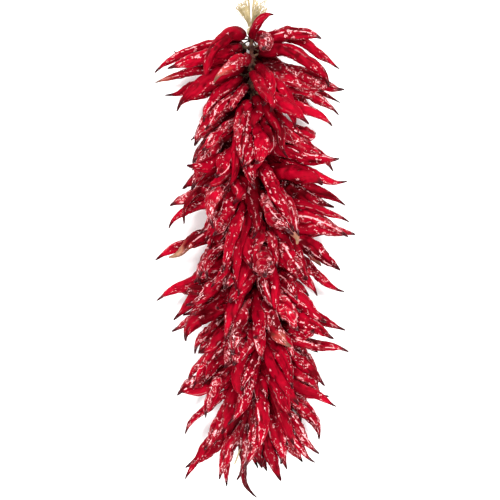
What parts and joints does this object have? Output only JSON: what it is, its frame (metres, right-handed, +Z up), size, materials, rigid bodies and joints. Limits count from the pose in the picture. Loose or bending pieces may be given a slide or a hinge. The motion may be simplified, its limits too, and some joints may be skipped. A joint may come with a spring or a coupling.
{
  "type": "chilli ristra",
  "caption": "Long hanging string of dried red chilli pods, tied by their stems in bunches down a twine, with a knot, frayed ends and a hanging loop, laid down.",
  "frame": {"origin": "middle of the underside of the object's box, without the hanging loop, on the surface it lies on", "axes": "+Y up the string towards the hanging loop, +X to the right seen from above with the loop at the top, +Z up from the surface"},
  "size_m": [0.368, 1.0337, 0.2459],
  "materials": {
    "chilli_skin": "glossy, wrinkled dried skin",
    "stem": "matt",
    "twine": "matt fibre"
  },
  "bodies": {
    "root": {"bunch_01": "chilli_skin", "bunch_02": "chilli_skin", "bunch_03": "chilli_skin", "bunch_04": "chilli_skin", "bunch_05": "chilli_skin", "bunch_06": "chilli_skin", "bunch_07": "chilli_skin", "bunch_08": "chilli_skin", "bunch_09": "chilli_skin", "bunch_10": "chilli_skin", "bunch_11": "chilli_skin", "bunch_12": "chilli_skin", "bunch_13": "chilli_skin", "bunch_14": "chilli_skin", "bunch_15": "chilli_skin", "bunch_16": "chilli_skin", "bunch_17": "chilli_skin", "bunch_18": "chilli_skin", "bunch_19": "chilli_skin", "bunch_20": "chilli_skin", "bunch_21": "chilli_skin", "bunch_22": "chilli_skin", "bunch_23": "chilli_skin", "bunch_24": "chilli_skin", "bunch_25": "chilli_skin", "bunch_26": "chilli_skin", "bunch_27": "chilli_skin", "bunch_28": "chilli_skin", "bunch_29": "chilli_skin", "bunch_30": "chilli_skin", "bunch_31": "chilli_skin", "bunch_32": "chilli_skin", "bunch_33": "chilli_skin", "bunch_34": "chilli_skin", "bunch_35": "chilli_skin", "bunch_36": "chilli_skin", "bunch_37": "chilli_skin", "bunch_38": "chilli_skin", "bunch_39": "chilli_skin", "bunch_40": "chilli_skin", "bunch_41": "chilli_skin", "bunch_42": "chilli_skin", "core_twine": "twine", "top_knot": "twine", "bottom_knot": "twine", "twine_tail": "twine", "frayed_end_left": "twine", "frayed_end_right": "twine", "hanging_loop": "twine"}
  },
  "joints": []
}
